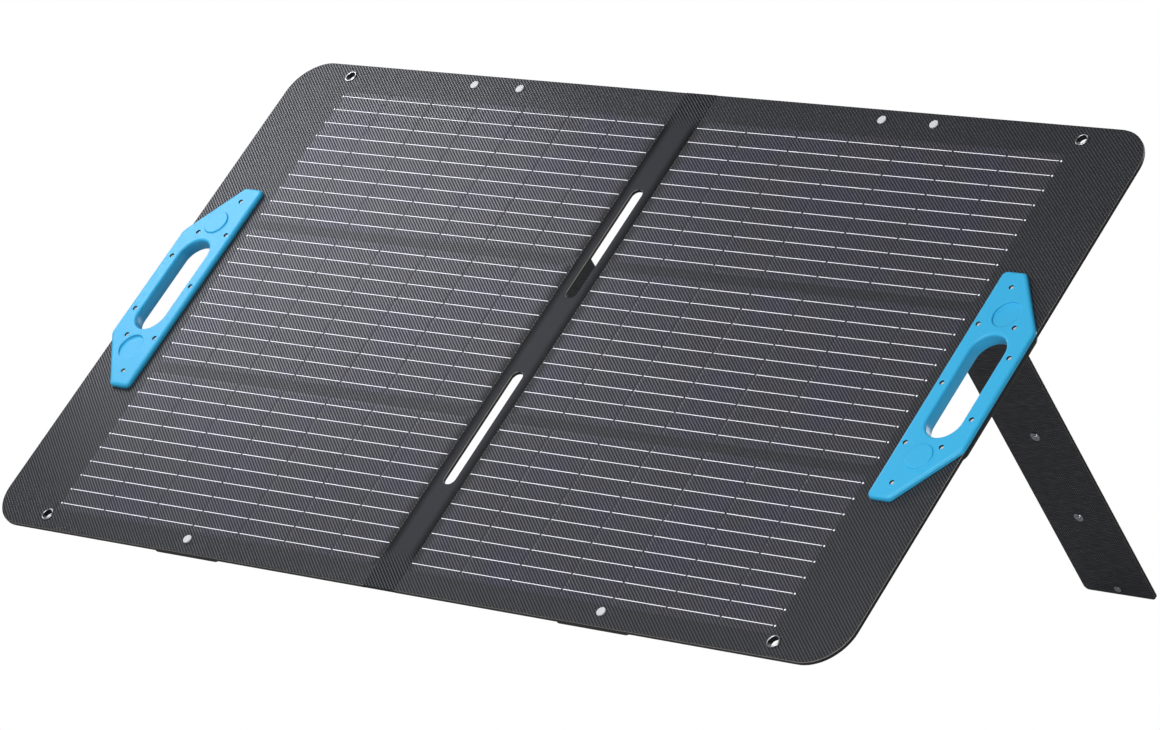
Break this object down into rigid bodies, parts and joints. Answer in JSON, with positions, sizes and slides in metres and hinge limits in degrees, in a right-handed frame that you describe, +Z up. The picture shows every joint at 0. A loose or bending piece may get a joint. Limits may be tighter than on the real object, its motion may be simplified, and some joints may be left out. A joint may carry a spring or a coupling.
{
  "type": "folding solar panel",
  "caption": "Portable solar panel that folds in half like a book, with grip handles at its outer edges and two rear kickstand legs that hold it up at an angle to the sun.",
  "frame": {"origin": "bottom centre of the open, standing panel's box, on the ground", "axes": "+X along the panel's width, to the right seen from the front; +Y towards the legs at the back; +Z up"},
  "size_m": [1.143, 0.7844, 0.4807],
  "materials": {
    "laminate": "embossed satin laminate",
    "silicon": "dark cell under film",
    "tinned_copper": "tinned",
    "glass_fibre": "raw board",
    "back_cloth": "coated polyester",
    "fold_cloth": "smooth coated fabric",
    "leg_cloth": "fine woven",
    "blue_plastic": "satin moulded",
    "black_plastic": "satin moulded",
    "steel": "plated",
    "magnet": "nickel plated",
    "webbing": "woven webbing",
    "circuit": "coated board"
  },
  "bodies": {
    "left_half": {"front_laminate_left": "laminate", "stiffener_board_left": "glass_fibre", "back_cover_left": "back_cloth", "cell_row_upper_left": "silicon", "cell_row_middle_left": "silicon", "cell_row_lower_left": "silicon", "bus_ribbon_left": "tinned_copper", "fold_strip_left": "fold_cloth", "handle_front_left": "blue_plastic", "handle_back_left": "black_plastic", "handle_magnet_upper_left": "magnet", "handle_magnet_lower_left": "magnet", "eyelet_upper_left": "steel", "eyelet_lower_left": "steel", "rivet_top_inner_left": "steel", "rivet_top_outer_left": "steel", "rivet_bottom_left": "steel", "leg_tab_left": "leg_cloth", "bottom_tab_left": "leg_cloth", "stay_strap_left": "webbing", "junction_box": "black_plastic", "junction_box_lid": "black_plastic", "bypass_diode_board": "circuit", "output_socket": "black_plastic"},
    "right_half": {"front_laminate_right": "laminate", "stiffener_board_right": "glass_fibre", "back_cover_right": "back_cloth", "cell_row_upper_right": "silicon", "cell_row_middle_right": "silicon", "cell_row_lower_right": "silicon", "bus_ribbon_right": "tinned_copper", "fold_strip_right": "fold_cloth", "handle_front_right": "blue_plastic", "handle_back_right": "black_plastic", "handle_magnet_upper_right": "magnet", "handle_magnet_lower_right": "magnet", "eyelet_upper_right": "steel", "eyelet_lower_right": "steel", "rivet_top_inner_right": "steel", "rivet_top_outer_right": "steel", "rivet_bottom_right": "steel", "leg_tab_right": "leg_cloth", "bottom_tab_right": "leg_cloth", "stay_strap_right": "webbing"},
    "left_leg": {"leg_left": "leg_cloth", "leg_snap_upper_left": "steel", "leg_snap_middle_left": "steel", "leg_snap_stay_left": "steel", "foot_stud_left": "steel", "stay_snap_cap_left": "steel"},
    "right_leg": {"leg_right": "leg_cloth", "leg_snap_upper_right": "steel", "leg_snap_middle_right": "steel", "leg_snap_stay_right": "steel", "foot_stud_right": "steel", "stay_snap_cap_right": "steel"}
  },
  "joints": [
    {"name": "fold", "type": "hinge", "parent": "left_half", "child": "right_half", "pos_m": [0, -0.19246, 0.24633], "axis": [0, -0.6508, -0.7593], "range_deg": [0, 180]},
    {"name": "left_leg_fold", "type": "hinge", "parent": "left_half", "child": "left_leg", "pos_m": [-0.2748, -0.02014, 0.42948], "axis": [-1, 0, 0], "range_deg": [0, 83.94], "deforming": ["stay_strap_left"]},
    {"name": "right_leg_fold", "type": "hinge", "parent": "right_half", "child": "right_leg", "pos_m": [0.2748, -0.02014, 0.42948], "axis": [-1, 0, 0], "range_deg": [0, 83.94], "deforming": ["stay_strap_right"]}
  ]
}
